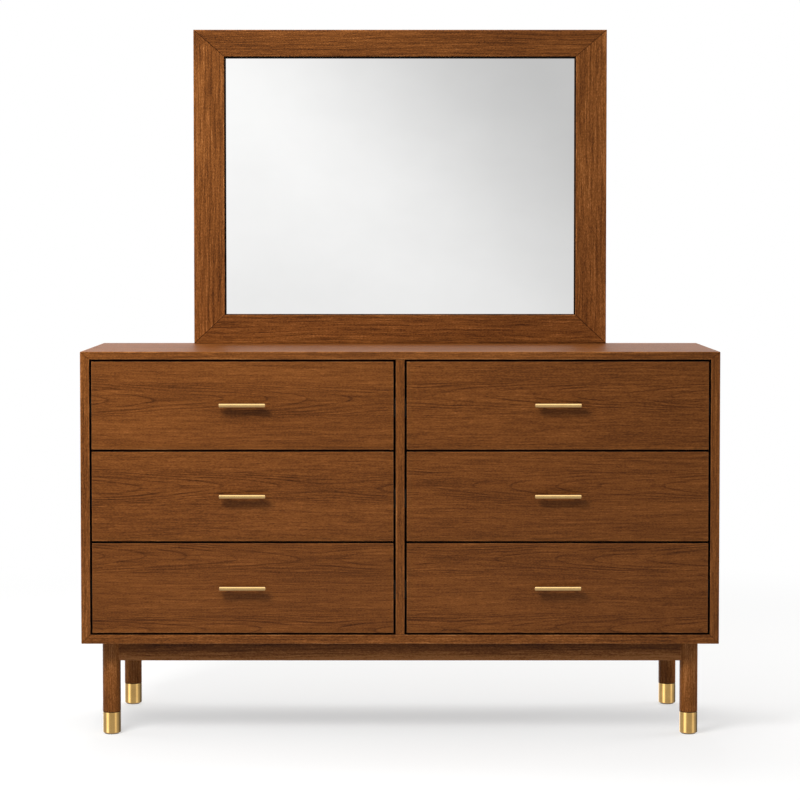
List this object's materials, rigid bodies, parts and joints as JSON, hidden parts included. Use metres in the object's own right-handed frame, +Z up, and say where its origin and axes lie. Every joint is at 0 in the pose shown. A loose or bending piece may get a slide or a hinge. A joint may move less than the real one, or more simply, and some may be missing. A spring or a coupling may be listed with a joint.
{
  "type": "dresser with mirror",
  "caption": "Double dresser on round brass-tipped legs, inset drawers with bar pulls, and a framed landscape mirror on its top.",
  "frame": {"origin": "on the floor, under the centre of the whole dresser's bounding box", "axes": "+Z up, -Y towards the front, +X to the right as seen from the front"},
  "size_m": [1.524, 0.5024, 1.727],
  "materials": {
    "walnut": "satin walnut stain",
    "drawer_wood": "clear lacquered birch",
    "plain_wood": "unstained hardwood",
    "back_panel": "stained plywood",
    "black_board": "matt black fibreboard",
    "brass": "brushed brass",
    "zinc_steel": "zinc-plated steel",
    "black_steel": "black-coated steel",
    "mirror": "silvered glass",
    "felt_black_plastic": "matt nylon"
  },
  "bodies": {
    "root": {"case_top": "walnut", "case_bottom": "walnut", "case_side_left": "walnut", "case_side_right": "walnut", "case_divider": "walnut", "apron_front": "walnut", "apron_rear": "walnut", "aprons_side": "walnut", "leg_front_left": "walnut", "leg_front_right": "walnut", "leg_rear_left": "walnut", "leg_rear_right": "walnut", "mirror_rail_top": "walnut", "mirror_rail_bottom": "walnut", "mirror_stile_left": "walnut", "mirror_stile_right": "walnut", "case_back": "back_panel", "back_rails": "plain_wood", "corner_blocks": "plain_wood", "mirror_supports": "plain_wood", "mirror_glass": "mirror", "mirror_backing": "black_board", "slide_case_members": "black_steel", "case_screws": "zinc_steel", "mirror_fasteners": "zinc_steel", "glides": "felt_black_plastic", "ferrule_front_left": "brass", "ferrule_front_right": "brass", "ferrule_rear_left": "brass", "ferrule_rear_right": "brass"},
    "drawer_top_left": {"drawer_top_left_front": "walnut", "drawer_top_left_box": "drawer_wood", "drawer_top_left_pull": "brass", "drawer_top_left_slide_members": "black_steel"},
    "slide_top_left": {"slide_top_left_middle_members": "black_steel"},
    "drawer_top_right": {"drawer_top_right_front": "walnut", "drawer_top_right_box": "drawer_wood", "drawer_top_right_pull": "brass", "drawer_top_right_slide_members": "black_steel"},
    "slide_top_right": {"slide_top_right_middle_members": "black_steel"},
    "drawer_middle_left": {"drawer_middle_left_front": "walnut", "drawer_middle_left_box": "drawer_wood", "drawer_middle_left_pull": "brass", "drawer_middle_left_slide_members": "black_steel"},
    "slide_middle_left": {"slide_middle_left_middle_members": "black_steel"},
    "drawer_middle_right": {"drawer_middle_right_front": "walnut", "drawer_middle_right_box": "drawer_wood", "drawer_middle_right_pull": "brass", "drawer_middle_right_slide_members": "black_steel"},
    "slide_middle_right": {"slide_middle_right_middle_members": "black_steel"},
    "drawer_bottom_left": {"drawer_bottom_left_front": "walnut", "drawer_bottom_left_box": "drawer_wood", "drawer_bottom_left_pull": "brass", "drawer_bottom_left_slide_members": "black_steel"},
    "slide_bottom_left": {"slide_bottom_left_middle_members": "black_steel"},
    "drawer_bottom_right": {"drawer_bottom_right_front": "walnut", "drawer_bottom_right_box": "drawer_wood", "drawer_bottom_right_pull": "brass", "drawer_bottom_right_slide_members": "black_steel"},
    "slide_bottom_right": {"slide_bottom_right_middle_members": "black_steel"}
  },
  "joints": [
    {"name": "drawer_top_left_out", "type": "slide", "parent": "root", "child": "drawer_top_left", "axis": [0, -1, 0], "range_m": [0, 0.39]},
    {"name": "slide_top_left_follow", "type": "slide", "parent": "root", "child": "slide_top_left", "axis": [0, -1, 0], "range_m": [0, 0.195]},
    {"name": "drawer_top_right_out", "type": "slide", "parent": "root", "child": "drawer_top_right", "axis": [0, -1, 0], "range_m": [0, 0.39]},
    {"name": "slide_top_right_follow", "type": "slide", "parent": "root", "child": "slide_top_right", "axis": [0, -1, 0], "range_m": [0, 0.195]},
    {"name": "drawer_middle_left_out", "type": "slide", "parent": "root", "child": "drawer_middle_left", "axis": [0, -1, 0], "range_m": [0, 0.39]},
    {"name": "slide_middle_left_follow", "type": "slide", "parent": "root", "child": "slide_middle_left", "axis": [0, -1, 0], "range_m": [0, 0.195]},
    {"name": "drawer_middle_right_out", "type": "slide", "parent": "root", "child": "drawer_middle_right", "axis": [0, -1, 0], "range_m": [0, 0.39]},
    {"name": "slide_middle_right_follow", "type": "slide", "parent": "root", "child": "slide_middle_right", "axis": [0, -1, 0], "range_m": [0, 0.195]},
    {"name": "drawer_bottom_left_out", "type": "slide", "parent": "root", "child": "drawer_bottom_left", "axis": [0, -1, 0], "range_m": [0, 0.39]},
    {"name": "slide_bottom_left_follow", "type": "slide", "parent": "root", "child": "slide_bottom_left", "axis": [0, -1, 0], "range_m": [0, 0.195]},
    {"name": "drawer_bottom_right_out", "type": "slide", "parent": "root", "child": "drawer_bottom_right", "axis": [0, -1, 0], "range_m": [0, 0.39]},
    {"name": "slide_bottom_right_follow", "type": "slide", "parent": "root", "child": "slide_bottom_right", "axis": [0, -1, 0], "range_m": [0, 0.195]}
  ],
  "couplings": [
    {"joint": "slide_top_left_follow", "follows": "drawer_top_left_out", "ratio": 0.5},
    {"joint": "slide_top_right_follow", "follows": "drawer_top_right_out", "ratio": 0.5},
    {"joint": "slide_middle_left_follow", "follows": "drawer_middle_left_out", "ratio": 0.5},
    {"joint": "slide_middle_right_follow", "follows": "drawer_middle_right_out", "ratio": 0.5},
    {"joint": "slide_bottom_left_follow", "follows": "drawer_bottom_left_out", "ratio": 0.5},
    {"joint": "slide_bottom_right_follow", "follows": "drawer_bottom_right_out", "ratio": 0.5}
  ]
}
